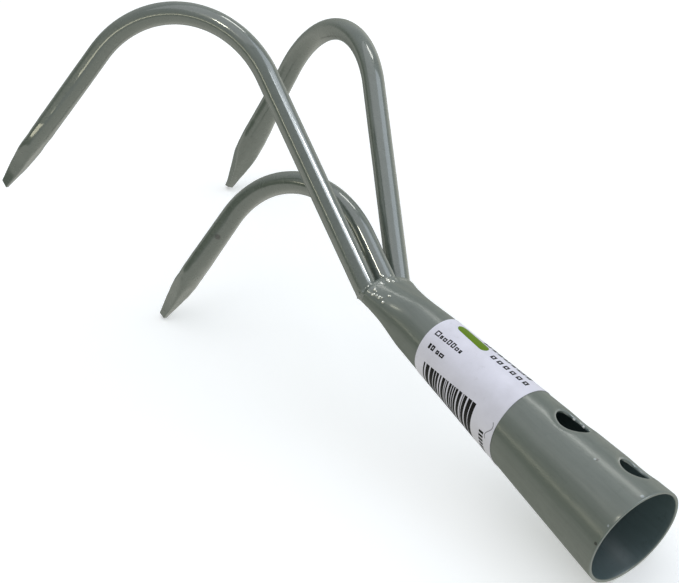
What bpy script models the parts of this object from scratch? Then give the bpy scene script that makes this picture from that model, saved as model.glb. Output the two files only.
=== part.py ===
"""Head of a three-tined hand cultivator.

A tapered steel socket takes a wooden handle.  Its nose is pressed flat around
the ends of three round bars, which are welded there, fan out, rise, and bend
down into hooks with forged points.  A paper band is stuck around the socket.

The tool is drawn upright first: the socket runs along +Y from its mouth at
y = 0, and the plane x = 0 cuts the tool into mirror halves.  Everything hangs
from one empty, which then lays the tool on the floor the way it really lies:
on the socket's rim, the middle point and one outer point.
"""
import math

import bmesh
import bpy
from mathutils import Matrix, Vector

MM = 0.001
GAP = 0.4 * MM                      # left between neighbouring solids

# Socket: a rolled and welded cone of sheet steel.
MOUTH_RADIUS = 23.5 * MM
TAPER = 0.0826                      # radius lost per unit of length
WALL = 1.4 * MM
RIM_CHAMFER = 0.2 * MM
SOCKET_SIDES = 64

# Nose: where the cone is pressed into a flat oval around the tines.
NOSE_START = 136.0 * MM
NOSE_END = 160.4 * MM
NOSE_HALF_WIDTH = 16.9 * MM
NOSE_HALF_HEIGHT = 7.9 * MM
NOSE_RISE = 1.1 * MM
NOSE_SQUARENESS = 2.15
NOSE_STATIONS = 9

# Two punched holes for the handle's screws, along the top of the socket:
# distance from the mouth, radius, and turn about the axis away from the top.
SCREW_HOLES = ((17.2 * MM, 6.9 * MM, math.radians(8.0)),
               (50.4 * MM, 7.7 * MM, math.radians(1.5)))

# Tines: round bars, straight, then bent through one arc, then straight again.
BAR_RADIUS = 5.0 * MM
BAR_SIDES = 24
ARC_STEP = math.radians(3.0)

OUTER_ROOT = Vector((9.6, 157.0, -2.0)) * MM
OUTER_FAN = math.radians(16.37)     # turned outwards from the socket's axis
OUTER_LIFT = math.radians(31.53)    # raised above the socket's axis
OUTER_SPLAY = math.radians(6.0)     # the hook's plane leans outwards
OUTER_STRAIGHT = 105.9 * MM
OUTER_BEND_RADIUS = 48.0 * MM
OUTER_BEND = math.radians(114.2)
LEFT_REACH = 76.4 * MM              # from the end of the bend to the point
RIGHT_REACH = 74.4 * MM
LEFT_END_SLANT = 0.38               # how far the cut at the point leans
RIGHT_END_SLANT = 0.50

MIDDLE_ROOT = Vector((0.0, 149.8, -0.9)) * MM
MIDDLE_LIFT = math.radians(22.0)
MIDDLE_STRAIGHT = 36.9 * MM
MIDDLE_BEND_RADIUS = 50.1 * MM
MIDDLE_BEND = math.radians(104.5)
MIDDLE_REACH = 61.8 * MM
MIDDLE_END_SLANT = 0.0

# Forged point: distance from its cut end, half width across the hook's plane,
# half thickness in that plane, and how square the section is (2 is round).
POINT_PROFILE = ((0.0 * MM, 1.2 * MM, 1.9 * MM, 7.0),
                 (7.5 * MM, 2.2 * MM, 3.0 * MM, 6.0),
                 (13.5 * MM, 3.7 * MM, 3.6 * MM, 5.0),
                 (19.5 * MM, 5.3 * MM, 4.0 * MM, 4.0),
                 (24.0 * MM, 6.3 * MM, 4.25 * MM, 2.6),
                 (30.0 * MM, 6.5 * MM, 4.55 * MM, 2.1),
                 (42.0 * MM, 5.95 * MM, 4.8 * MM, 2.0),
                 (64.0 * MM, BAR_RADIUS, BAR_RADIUS, 2.0))
POINT_STEP = 3.0 * MM

# Weld beads: one over and one under each bar, in front of the socket's lip.
BEAD_RADIUS = 1.0 * MM
BEAD_HALF_SPREAD = math.radians(30.0)
OUTER_BEAD_TURN = math.radians(22.0)    # the outer beads lean to the middle
BEAD_SIDES = 10
BEAD_STATIONS = 9

# Paper band: a flat rectangle wrapped around the socket.  On the unrolled cone
# x runs around the socket from the line along its top, and y along that line,
# from the cone's apex towards the mouth.
PAPER_LEFT = -54.0 * MM
PAPER_RIGHT = 29.0 * MM
PAPER_FAR = 160.6 * MM
PAPER_NEAR = 214.3 * MM
PAPER_THICKNESS = 0.25 * MM
PAPER_COLUMNS = 54
PAPER_ROWS = 12

# How the finished tool lies on the floor.
LIE_ROLL = math.radians(33.422)     # about the socket's own axis
LIE_PITCH = math.radians(11.149)    # the mouth end stays down on its rim

PAINT = ((0.155, 0.190, 0.175), 0.28, 0.0)
PAPER = ((0.72, 0.70, 0.78), 0.60, 0.0)


# ------------------------------------------------------------------ helpers

def clear_scene():
    """Remove whatever objects the file opened with."""
    for obj in list(bpy.data.objects):
        bpy.data.objects.remove(obj, do_unlink=True)


def material(name, look):
    """A Principled material from (colour, roughness, metallic)."""
    colour, roughness, metallic = look
    made = bpy.data.materials.new(name)
    made.use_nodes = True
    made.diffuse_color = (*colour, 1.0)
    shader = made.node_tree.nodes["Principled BSDF"]
    shader.inputs["Base Color"].default_value = (*colour, 1.0)
    shader.inputs["Roughness"].default_value = roughness
    shader.inputs["Metallic"].default_value = metallic
    return made


def smoothstep(t):
    """0 at t = 0, 1 at t = 1, level at both ends."""
    t = min(max(t, 0.0), 1.0)
    return t * t * (3.0 - 2.0 * t)


def oval(half_width, half_height, squareness, sides):
    """Points of a superellipse: squareness 2 is an ellipse, more is boxier."""
    points = []
    for index in range(sides):
        angle = 2.0 * math.pi * index / sides
        c = math.cos(angle)
        s = math.sin(angle)
        power = 2.0 / squareness
        points.append((half_width * math.copysign(abs(c) ** power, c),
                       half_height * math.copysign(abs(s) ** power, s)))
    return points


def skin(name, rings, look, capped=True):
    """One closed body through a list of rings of equal length.

    With capped False the last ring joins back to the first, which makes a
    tube wall out of an outside and an inside run of rings.
    """
    mesh = bpy.data.meshes.new(name)
    build = bmesh.new()
    loops = [[build.verts.new(point) for point in ring] for ring in rings]
    count = len(loops[0])
    pairs = list(zip(loops, loops[1:]))
    if not capped:
        pairs.append((loops[-1], loops[0]))
    for here, there in pairs:
        for index in range(count):
            after = (index + 1) % count
            build.faces.new((here[index], here[after], there[after], there[index]))
    if capped:
        build.faces.new(list(reversed(loops[0])))
        build.faces.new(loops[-1])
    bmesh.ops.recalc_face_normals(build, faces=build.faces)
    build.to_mesh(mesh)
    build.free()
    mesh.shade_smooth()
    mesh.set_sharp_from_angle(angle=math.radians(38.0))
    obj = bpy.data.objects.new(name, mesh)
    bpy.context.collection.objects.link(obj)
    mesh.materials.append(look)
    return obj


def subtract(obj, cutter):
    """Cut one closed body out of another and keep the modifier live."""
    cutter.hide_render = True
    cutter.display_type = "WIRE"
    cut = obj.modifiers.new("Cut by " + cutter.name, "BOOLEAN")
    cut.operation = "DIFFERENCE"
    cut.solver = "EXACT"
    cut.object = cutter


# ------------------------------------------------------------------- socket

def cone_radius(along):
    """Outside radius of the plain cone at a distance from the mouth."""
    return MOUTH_RADIUS - TAPER * along


def socket_section(along, inset):
    """One ring of the socket at a distance from the mouth, inset by a wall."""
    press = smoothstep((along - NOSE_START) / (NOSE_END - NOSE_START))
    radius = cone_radius(along)
    half_width = radius + (NOSE_HALF_WIDTH - radius) * press - inset
    half_height = radius + (NOSE_HALF_HEIGHT - radius) * press - inset
    squareness = 2.0 + (NOSE_SQUARENESS - 2.0) * press
    rise = NOSE_RISE * press
    return [Vector((x, along, z + rise))
            for x, z in oval(half_width, half_height, squareness, SOCKET_SIDES)]


def make_socket(look):
    """The tapered tube with its flattened nose, as one wall."""
    body_stations = [RIM_CHAMFER, 0.3 * NOSE_START, 0.6 * NOSE_START]
    step = (NOSE_END - NOSE_START) / (NOSE_STATIONS - 1)
    nose_stations = [NOSE_START + step * index for index in range(NOSE_STATIONS)]
    stations = body_stations + nose_stations

    outside = [socket_section(0.0, RIM_CHAMFER)]
    outside += [socket_section(along, 0.0) for along in stations]
    inside = [socket_section(along, WALL) for along in reversed(stations)]
    inside.append(socket_section(0.0, WALL - RIM_CHAMFER))
    return skin("socket", outside + inside, look, capped=False)


def make_screw_cutter(number, along, radius, turn, look):
    """A short cylinder standing across the top wall of the socket."""
    outwards = Vector((math.sin(turn), 0.0, math.cos(turn)))
    across = Vector((math.cos(turn), 0.0, -math.sin(turn)))
    forwards = Vector((0.0, 1.0, 0.0))
    surface = cone_radius(along)
    rings = []
    for height in (surface - 8.0 * MM, surface + 6.0 * MM):
        centre = outwards * height + forwards * along
        rings.append([centre + across * x + forwards * y
                      for x, y in oval(radius, radius, 2.0, 40)])
    return skin("screw_cutter_%d" % number, rings, look)


# -------------------------------------------------------------------- tines

def hook_path(root, fan, lift, splay, straight, bend_radius, bend, reach):
    """Centreline of a tine, as points with their direction, and its width axis.

    The bar leaves the root raised by lift and turned out by fan, and hooks
    downwards in a plane that leans outwards by splay.
    """
    ahead = Vector((-math.sin(fan) * math.cos(lift),
                    math.cos(fan) * math.cos(lift),
                    math.sin(lift)))
    down = Vector((0.0, 0.0, -1.0))
    turn = (down - ahead * down.dot(ahead)).normalized()
    side = ahead.cross(turn)
    turn = turn * math.cos(splay) + side * math.sin(splay)
    width_axis = ahead.cross(turn)

    path = [(root, ahead), (root + ahead * straight * 0.5, ahead)]
    start = root + ahead * straight
    centre = start + turn * bend_radius
    steps = round(bend / ARC_STEP)
    for index in range(steps + 1):
        angle = bend * index / steps
        point = centre + bend_radius * (ahead * math.sin(angle) - turn * math.cos(angle))
        path.append((point, ahead * math.cos(angle) + turn * math.sin(angle)))
    corner, heading = path[-1]
    point_length = POINT_PROFILE[-1][0]
    steps = round(point_length / POINT_STEP)
    for index in range(steps + 1):
        left = point_length * (1.0 - index / steps)
        if reach - left > 1.0 * MM:
            path.append((corner + heading * (reach - left), heading))
    return path, width_axis


def point_section(left):
    """Half width, half thickness and squareness at a distance from the point."""
    if left >= POINT_PROFILE[-1][0]:
        return POINT_PROFILE[-1][1:]
    for near, far in zip(POINT_PROFILE, POINT_PROFILE[1:]):
        if near[0] <= left <= far[0]:
            t = (left - near[0]) / (far[0] - near[0])
            return tuple(a + (b - a) * t for a, b in zip(near[1:], far[1:]))
    return POINT_PROFILE[0][1:]


def sweep_bar(name, path, width_axis, end_slant, look):
    """A bar along a planar path, forged to a point at its far end.

    end_slant leans the last cut, so that the hook's inner side is the longer.
    """
    left = [0.0]
    for (here, _), (there, _) in zip(reversed(path[:-1]), reversed(path[1:])):
        left.append(left[-1] + (there - here).length)
    left.reverse()
    rings = []
    for (centre, heading), remaining in zip(path, left):
        depth_axis = heading.cross(width_axis)
        half_width, half_depth, squareness = point_section(remaining)
        lean = heading * (-end_slant if remaining == 0.0 else 0.0)
        rings.append([centre + width_axis * x + (depth_axis + lean) * y
                      for x, y in oval(half_width, half_depth, squareness, BAR_SIDES)])
    return skin(name, rings, look)


def outer_path(reach):
    """The centreline of the left tine."""
    root = Vector((-OUTER_ROOT.x, OUTER_ROOT.y, OUTER_ROOT.z))
    return hook_path(root, OUTER_FAN, OUTER_LIFT, OUTER_SPLAY,
                     OUTER_STRAIGHT, OUTER_BEND_RADIUS, OUTER_BEND, reach)


def mirrored(path, width_axis):
    """The same path on the other side of the plane x = 0."""
    flip = Matrix.Diagonal((-1.0, 1.0, 1.0))
    return [(flip @ point, flip @ heading) for point, heading in path], flip @ width_axis


def root_cutter(name, root, ahead, look):
    """The room a bar needs where it passes the socket's lip."""
    side = Vector((0.0, 0.0, 1.0)).cross(ahead).normalized()
    up = ahead.cross(side)
    radius = BAR_RADIUS + GAP
    rings = [[root + ahead * along + side * x + up * y
              for x, y in oval(radius, radius, 2.0, 32)]
             for along in (-GAP, 40.0 * MM)]
    return skin(name, rings, look)


# -------------------------------------------------------------------- welds

def make_bead(name, root, ahead, above, turn, look):
    """A weld bead over or under a bar, just in front of the socket's lip.

    It is a short fat arc around the bar that thins out towards its ends, and
    turn moves it around the bar.
    """
    side = ahead.cross(Vector((0.0, 0.0, 1.0))).normalized()
    up = side.cross(ahead) * above
    rings = []
    for index in range(BEAD_STATIONS):
        t = 2.0 * index / (BEAD_STATIONS - 1) - 1.0
        angle = BEAD_HALF_SPREAD * t + turn
        fat = BEAD_RADIUS * math.sqrt(1.0 - 0.8 * t * t)
        out = side * math.sin(angle) + up * math.cos(angle)
        spine = root + out * (BAR_RADIUS + GAP + BEAD_RADIUS)
        rings.append([spine + out * x + ahead * y
                      for x, y in oval(fat, fat, 2.0, BEAD_SIDES)])
    nearest = min(point.y for ring in rings for point in ring)
    slide = ahead * ((NOSE_END + GAP - nearest) / ahead.y)
    return skin(name, [[point + slide for point in ring] for ring in rings], look)


# -------------------------------------------------------------------- label

def wrap(x, y, lift):
    """Where a point of the flat paper comes to lie on the cone."""
    half_angle = math.atan(TAPER)
    slant = math.hypot(x, y)
    angle = math.atan2(x, y) / math.sin(half_angle)
    along = MOUTH_RADIUS / TAPER - slant * math.cos(half_angle)
    radius = cone_radius(along) + lift
    return Vector((radius * math.sin(angle), along, radius * math.cos(angle)))


def make_label(look):
    """A thin paper band around most of the socket."""
    rows = [PAPER_NEAR + (PAPER_FAR - PAPER_NEAR) * index / PAPER_ROWS
            for index in range(PAPER_ROWS + 1)]
    columns = []
    for index in range(PAPER_COLUMNS + 1):
        x = PAPER_LEFT + (PAPER_RIGHT - PAPER_LEFT) * index / PAPER_COLUMNS
        column = [wrap(x, y, GAP) for y in rows]
        column += [wrap(x, y, GAP + PAPER_THICKNESS) for y in reversed(rows)]
        columns.append(column)
    return skin("label", columns, look)


# ----------------------------------------------------------------- assembly

def lay_on_floor(frame, parts):
    """Lay the whole tool down, with its box centred over the origin."""
    frame.rotation_mode = "QUATERNION"
    lie = Matrix.Rotation(LIE_PITCH, 4, "X") @ Matrix.Rotation(LIE_ROLL, 4, "Y")
    frame.rotation_quaternion = lie.to_quaternion()
    corners = [lie @ vertex.co for part in parts for vertex in part.data.vertices]
    low = [min(corner[axis] for corner in corners) for axis in range(3)]
    high = [max(corner[axis] for corner in corners) for axis in range(3)]
    frame.location = (-(low[0] + high[0]) / 2.0, -(low[1] + high[1]) / 2.0, -low[2])


def build_tool():
    """Make every part, cut the socket, and lay the tool down."""
    clear_scene()
    socket_paint = material("socket_paint", PAINT)
    tine_paint = material("tine_paint", PAINT)
    weld_paint = material("weld_paint", PAINT)
    paper = material("label_paper", PAPER)

    left_path, left_axis = outer_path(LEFT_REACH)
    right_path, right_axis = mirrored(*outer_path(RIGHT_REACH))
    middle_path, middle_axis = hook_path(
        MIDDLE_ROOT, 0.0, MIDDLE_LIFT, 0.0,
        MIDDLE_STRAIGHT, MIDDLE_BEND_RADIUS, MIDDLE_BEND, MIDDLE_REACH)

    socket = make_socket(socket_paint)
    cutters = [make_screw_cutter(number, along, radius, turn, socket_paint)
               for number, (along, radius, turn) in enumerate(SCREW_HOLES, 1)]
    parts = [socket]
    for side, path, axis, slant, bead_turn in (
            ("left", left_path, left_axis, LEFT_END_SLANT, OUTER_BEAD_TURN),
            ("middle", middle_path, middle_axis, MIDDLE_END_SLANT, 0.0),
            ("right", right_path, right_axis, RIGHT_END_SLANT, -OUTER_BEAD_TURN)):
        root, ahead = path[0]
        parts.append(sweep_bar("tine_" + side, path, axis, slant, tine_paint))
        for place, above in (("over", 1.0), ("under", -1.0)):
            name = "weld_%s_%s" % (place, side)
            parts.append(make_bead(name, root, ahead, above, bead_turn, weld_paint))
        cutters.append(root_cutter("root_cutter_" + side, root, ahead, socket_paint))
    for cutter in cutters:
        subtract(socket, cutter)
    parts.append(make_label(paper))

    frame = bpy.data.objects.new("tool_frame", None)
    bpy.context.collection.objects.link(frame)
    for obj in parts + cutters:
        obj.parent = frame
    lay_on_floor(frame, parts)
    bpy.context.view_layer.update()


build_tool()
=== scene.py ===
"""Looks for the head of a three-tined hand cultivator.

Everything is drawn in the tool's own frame: the socket runs along +Y from its
mouth at y = 0, the hooks bend down towards -Z, and the plane x = 0 cuts the
tool into mirror halves.  PLACE then carries each piece to where the tool lies
on the floor.  Lengths are in millimetres until to_metres() makes them metres.
"""

import math
import random

import bmesh
import bpy
from mathutils import Matrix, Vector, noise

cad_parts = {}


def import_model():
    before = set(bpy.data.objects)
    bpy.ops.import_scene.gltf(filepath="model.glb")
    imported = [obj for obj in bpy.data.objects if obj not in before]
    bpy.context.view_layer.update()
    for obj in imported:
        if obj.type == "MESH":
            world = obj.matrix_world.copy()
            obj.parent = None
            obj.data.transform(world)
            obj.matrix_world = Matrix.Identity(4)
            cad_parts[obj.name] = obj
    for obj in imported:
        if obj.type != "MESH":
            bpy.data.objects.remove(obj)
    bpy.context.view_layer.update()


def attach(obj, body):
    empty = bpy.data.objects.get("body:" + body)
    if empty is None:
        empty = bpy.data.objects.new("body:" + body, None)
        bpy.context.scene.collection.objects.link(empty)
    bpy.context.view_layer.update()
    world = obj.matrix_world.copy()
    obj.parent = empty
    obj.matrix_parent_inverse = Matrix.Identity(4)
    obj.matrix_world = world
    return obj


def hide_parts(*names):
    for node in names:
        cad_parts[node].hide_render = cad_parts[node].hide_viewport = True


UP = Vector((0.0, 0.0, 1.0))
AHEAD = Vector((0.0, 1.0, 0.0))

# How the tool lies: roll about the socket's axis, then pitch, then the place
# of the middle of the socket's mouth, in metres.
LIE_ROLL = math.radians(33.422)
LIE_PITCH = math.radians(11.149)
MOUTH_CENTRE = Vector((0.0072186, -0.1631226, 0.0230026))
PLACE = (Matrix.Translation(MOUTH_CENTRE)
         @ Matrix.Rotation(LIE_PITCH, 4, "X")
         @ Matrix.Rotation(LIE_ROLL, 4, "Y"))

# Socket.
MOUTH_RADIUS = 23.5
TAPER = 0.0826                      # radius lost per unit of length
WALL = 1.4
RIM_ROUND = 0.35
SOCKET_SIDES = 160
SOCKET_STEP = 1.7
OUTSIDE, BORE, RIM, PUNCHED = range(4)      # order of the socket's looks

# Nose: where the cone is pressed into an oval around the tines.
NOSE_START = 136.0
NOSE_END = 160.4
NOSE_HALF_WIDTH = 16.9
NOSE_HALF_HEIGHT = 7.9
NOSE_HALF_HEIGHT_BELOW = 6.9
NOSE_RISE = 1.1
NOSE_SQUARENESS = 2.15

# How much sooner the socket's lip ends over the left and the right bar, and
# where the wall starts to draw back for it.
LIP_RECESS = (2.6, 1.2)
LIP_RECESS_START = 147.0

# Creases on top of the nose, each with a shallow dent to its right: near and
# far end as (along, x), then the dent's width and depth.
CREASES = (((126.0, 3.4), (148.5, -2.8), 10.0, 0.36),
           ((143.0, 5.0), (154.5, -3.0), 7.0, 0.22))
DENT_PEAK = 4.0 / 27.0              # highest value of t (1 - t) ** 2

# Punched screw holes: distance from the mouth, radius, turn from the top.
SCREW_HOLES = ((17.2, 6.9, math.radians(8.0)),
               (50.4, 7.7, math.radians(1.5)))
HOLE_MARGIN = 4.5                   # width of the patch around a hole
HOLE_DRAW = 0.90                    # how far punching drew the edge inwards
HOLE_DRAW_REACH = 1.6               # how far from the edge the wall bends
HOLE_ROUND = 0.70                   # how much wider the hole is at the surface
HOLE_RINGS = 10
# Edge of a hole, from outside to inside: share of HOLE_ROUND, and depth.
HOLE_EDGE = ((0.70, 0.04), (0.30, 0.13), (0.08, 0.28), (0.0, 0.5), (0.0, 1.0), (0.12, 1.25))

# Tines.
BAR_RADIUS = 5.0
BAR_SIDES = 64
ARC_STEP = math.radians(1.0)
ROOT_BEVEL = 0.35                   # share the bars lose at the root, for the weld
ROOT_BEVEL_LENGTH = 5.0
OUTER_ROOT = Vector((9.6, 157.0, -2.0))
OUTER_FAN = math.radians(16.37)
OUTER_LIFT = math.radians(31.53)
OUTER_SPLAY = math.radians(6.0)
OUTER_STRAIGHT = 105.9
OUTER_BEND_RADIUS = 48.0
OUTER_BEND = math.radians(114.2)
LEFT_REACH = 76.4
RIGHT_REACH = 74.4
MIDDLE_ROOT = Vector((0.0, 149.8, -0.9))
MIDDLE_LIFT = math.radians(22.0)
MIDDLE_STRAIGHT = 36.9
MIDDLE_BEND_RADIUS = 50.1
MIDDLE_BEND = math.radians(104.5)
MIDDLE_REACH = 61.8
LEFT_END_SLANT = 0.38
MIDDLE_END_SLANT = 0.0
RIGHT_END_SLANT = 0.50

# Forged point: distance from its cut end, half width across the hook's plane,
# half thickness in that plane, and how square the section is (2 is round).
POINT_PROFILE = ((0.0, 1.17, 1.84, 10.0),
                 (7.5, 2.12, 2.88, 9.0),
                 (13.5, 3.45, 3.45, 7.0),
                 (19.0, 4.85, 3.85, 4.6),
                 (24.0, 6.00, 4.22, 2.5),
                 (31.0, 6.45, 4.58, 2.1),
                 (42.0, 5.95, 4.80, 2.0),
                 (64.0, BAR_RADIUS, BAR_RADIUS, 2.0))
POINT_STEP = 0.8
HAMMERED_LENGTH = 46.0              # hammer marks reach this far from the cut end
HAMMER_MARKS = 0.14

# Weld: the plug that closes the nose as (along, depth below the nose's
# outside), and the collar on each bar as (distance past the lip, radius).
PLUG_SIDES = 80
PLUG = ((152.5, 1.2), (155.0, 0.45), (157.0, -0.02), (159.6, -0.08),
        (161.0, 0.5), (162.3, 1.6), (163.6, 3.2), (164.6, 5.2))
COLLAR = ((-4.0, BAR_RADIUS - 2.2), (-1.5, BAR_RADIUS - 1.1), (1.0, BAR_RADIUS + 0.15),
          (3.0, BAR_RADIUS - 0.15), (5.0, BAR_RADIUS - 0.6))
COLLAR_SIDES = 40
COLLAR_LUMPS = 6
WELD_VOXEL = 0.00032                # in metres
WELD_SMOOTHING = 30

# Spatter on the nose, in clusters: middle and half spread of the angle from the
# top in degrees, end and depth along the socket, and number of beads.
SPATTER = ((-68.0, 9.0, 157.5, 8.5, 9),
           (-52.0, 3.0, 150.5, 1.5, 2),
           (-13.0, 10.0, 160.2, 3.2, 7),
           (80.0, 16.0, 159.0, 6.0, 4),
           (180.0, 35.0, 160.0, 9.0, 10))
FOOT_BEADS = (3, 5, 1)              # beads on the feet of the three bars

# Nicks in the paint of the socket as (along, turn from the top, size), and one
# on the middle tine as (point, size).
DARK_NICKS = ((26.7, math.radians(-29.0), 0.9),
              (1.4, math.radians(-94.0), 0.9))
PALE_NICKS = ((1.6, math.radians(-27.0), 1.0),
              (1.5, math.radians(-72.0), 0.6),
              (27.5, math.radians(-30.5), 0.7))
TINE_NICK = (Vector((-4.1, 250.8, -36.3)), 1.7)
# Painted glints: bright spots on the far edge of the screw holes, where the rounded edge catches
# the light.
PAINTED_EDGE_GLINTS = ((53.9, math.radians(22.3), 0.7),
              (48.8, math.radians(24.4), 0.8))
# Colour of the painted glints; below it, the colours of the dark and pale nicks.
PAINTED_GLINT_COLOUR = (0.75, 0.76, 0.74)
NICK_DARK = (0.012, 0.016, 0.013)
NICK_PALE = (0.26, 0.29, 0.30)
RAGGED = 0.0005                     # how uneven the outline of nicks and painted glints is, in metres

# Paper band: a flat rectangle wrapped around the cone.  On the unrolled cone
# x runs around the socket from the line along its top, and y along that line,
# from the cone's apex towards the mouth.
PAPER_LEFT = -54.0
PAPER_RIGHT = 29.0
PAPER_FAR = 160.6
PAPER_NEAR = 214.3
PAPER_LIFT = 0.02
PAPER_THICKNESS = 0.12
PAPER_ROWS = 40
PAPER_COLUMNS = 150
INK_THICKNESS = 0.03
INK_SINK = 0.01                     # how far ink sinks into the paper
BLACK, GREEN, PENCIL = range(3)     # order of the inks

# Filler text: place across, start along, (length, height) of each box with 0
# for a space, gap between boxes, and width of their lines.
FILLER_TEXT = ((-12.3, 163.4, ((2.5, 2.5), (1.2, 1.7), (1.8, 1.7), (1.8, 2.5),
                               (1.8, 2.5), (1.8, 1.7), (1.2, 1.7)), 0.6, 0.55),
               (-18.4, 164.9, ((1.1, 2.3), (1.7, 2.3), (0.3, 0.0), (1.6, 1.7),
                               (2.4, 1.7)), 0.55, 0.62),
               (-3.9, 188.2, ((2.4, 2.6),) * 6, 1.45, 0.75),
               (2.3, 178.5, ((4.2, 5.0), (2.2, 3.5), (2.6, 3.5), (3.6, 5.0),
                             (2.4, 3.5), (4.4, 3.5), (2.6, 5.0)), 1.0, 1.1))

# Striped panel: sides, ends, the width of its narrowest stripe, and how close
# to the end a stripe may still start.
STRIPES_ACROSS = (-24.2, -45.0)
STRIPES_ALONG = (166.5, 201.7)
STRIPE = 0.42
STRIPE_REST = 1.1

# Row of small blocks beside the stripes: how many, where it starts, the step
# from one to the next, their width and their ends.
BLOCKS = 7
BLOCKS_START = -32.4
BLOCKS_STEP = 1.9
BLOCK_WIDTH = 1.15
BLOCK_ALONG = (206.4, 209.2)

# Plain green bar: its middle, length, width and lean.
GREEN_BAR = ((-0.9, 175.3), 18.4, 5.2, -0.08)

# Pencil squiggle: start, distance across, height of its wave, and line width.
SQUIGGLE_START = (-25.8, 211.6)
SQUIGGLE_RUN = 8.6
SQUIGGLE_WAVE = 1.5
SQUIGGLE_WIDTH = 0.38
CURVE_STEPS = 24                    # pieces a curved outline is drawn in

# Lights: name, azimuth from +Y towards +X, elevation, distance, width and
# length, power, colour, direction the length points in, and whether the light
# shows only as a reflection.
LIGHTS_AIM = Vector((0.0, 0.0, 0.06))
SLANTING = Vector((-0.40, -0.30, 0.85))
LIGHTS = (("overhead_soft", 10.0, 78.0, 1.6, (1.7, 1.7), 6.1, (0.96, 0.97, 1.0), AHEAD, False),
          ("side_window", 118.0, 42.0, 1.2, (0.8, 0.8), 3.6, (0.80, 0.88, 1.0), UP, False),
          ("key_strip", 130.0, 34.0, 1.0, (0.06, 0.36), 2.6, (0.95, 0.98, 1.0), SLANTING, True),
          ("key_glow", 150.0, 46.0, 1.0, (0.16, 0.42), 1.3, (0.88, 0.94, 1.0), SLANTING, True),
          ("top_strip", -88.0, 66.0, 1.0, (0.07, 0.12), 1.0, (1.0, 0.97, 0.78), AHEAD, True),
          ("back_spot", 62.0, 45.0, 1.0, (0.30, 0.16), 1.0, (1.0, 1.0, 0.95), UP, True),
          ("low_panel", -74.0, 22.0, 1.0, (0.85, 0.07), 0.80, (1.0, 0.96, 0.72), UP, True))

# Surroundings by height, where 0 is straight down, 0.5 the horizon and 1
# straight up: all round, and in the dark corner of the room.
SURROUNDINGS = ((0.0, (0.87, 0.88, 0.80)),
                (0.45, (0.85, 0.86, 0.78)),
                (0.60, (0.64, 0.67, 0.66)),
                (0.80, (0.58, 0.61, 0.62)),
                (1.0, (0.60, 0.63, 0.66)))
DARK_CORNER = ((0.0, (0.87, 0.88, 0.80)),
               (0.49, (0.85, 0.86, 0.78)),
               (0.535, (0.10, 0.12, 0.08)),
               (0.620, (0.10, 0.12, 0.08)),
               (0.72, (0.50, 0.52, 0.46)),
               (1.0, (0.60, 0.63, 0.66)))
DARK_AZIMUTH = -55.0
DARK_EDGE = (0.45, 0.92)            # cosines where the corner's soft edge begins and ends
DIM_COLOUR = (0.28, 0.30, 0.27)     # the far floor behind the tool
DIM_AZIMUTH = 14.0
DIM_ELEVATION = -28.0
DIM_EDGE = (0.62, 0.93)

# Camera.
CAMERA_AT = Vector((-0.451026, -0.705057, 0.748002))
CAMERA_AIM = Vector((-0.014195, -0.015830, 0.087211))
CAMERA_ROLL = math.radians(-7.602)
CAMERA_LENS = 134.67
CAMERA_SHIFT = (-0.01585, -0.03723)


# ------------------------------------------------------------------ helpers

def smoothstep(t):
    """0 at t = 0, 1 at t = 1, level at both ends."""
    t = min(max(t, 0.0), 1.0)
    return t * t * (3.0 - 2.0 * t)


def mix(a, b, t):
    """Straight blend from a to b."""
    return a + (b - a) * t


def curve(before, a, b, after, t):
    """Smooth blend from a to b that heads on towards the values around them."""
    rise = 0.5 * (b - before)
    onward = 0.5 * (after - a)
    return (a + rise * t + (3.0 * (b - a) - 2.0 * rise - onward) * t ** 2
            + (2.0 * (a - b) + rise + onward) * t ** 3)


def to_metres(point):
    """A point in millimetres as a point in metres."""
    return Vector(point) * 0.001


def signed_power(value, power):
    """The power of a number's size, with the number's sign."""
    return math.copysign(abs(value) ** power, value)


def wobble(point, size, seed):
    """Smooth noise between about -1 and 1 with features of a given size."""
    return noise.noise(Vector(point) / size + Vector((seed, 0.37 * seed, 1.7 * seed)))


def bridge(build, here, there, slot=0):
    """Quads between two closed rings of vertices."""
    count = len(here)
    for index in range(count):
        after = (index + 1) % count
        face = build.faces.new((here[index], here[after], there[after], there[index]))
        face.material_index = slot


def finish_mesh(name, build, looks, sharp_degrees, nodes):
    """Turn a bmesh into a placed piece that stands for some CAD nodes."""
    bmesh.ops.recalc_face_normals(build, faces=build.faces)
    mesh = bpy.data.meshes.new(name)
    build.to_mesh(mesh)
    build.free()
    mesh.shade_smooth()
    mesh.set_sharp_from_angle(angle=math.radians(sharp_degrees))
    for look in looks:
        mesh.materials.append(look)
    return adopt(bpy.data.objects.new(name, mesh), nodes)


def adopt(piece, nodes):
    """Link a piece, lay it on the floor with the tool, and hide the CAD parts it stands in for."""
    if not piece.users_collection:
        bpy.context.scene.collection.objects.link(piece)
    piece.data.transform(PLACE)
    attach(piece, "root")
    if nodes:
        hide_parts(*nodes)
    return piece


# ---------------------------------------------------------------- materials

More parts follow.
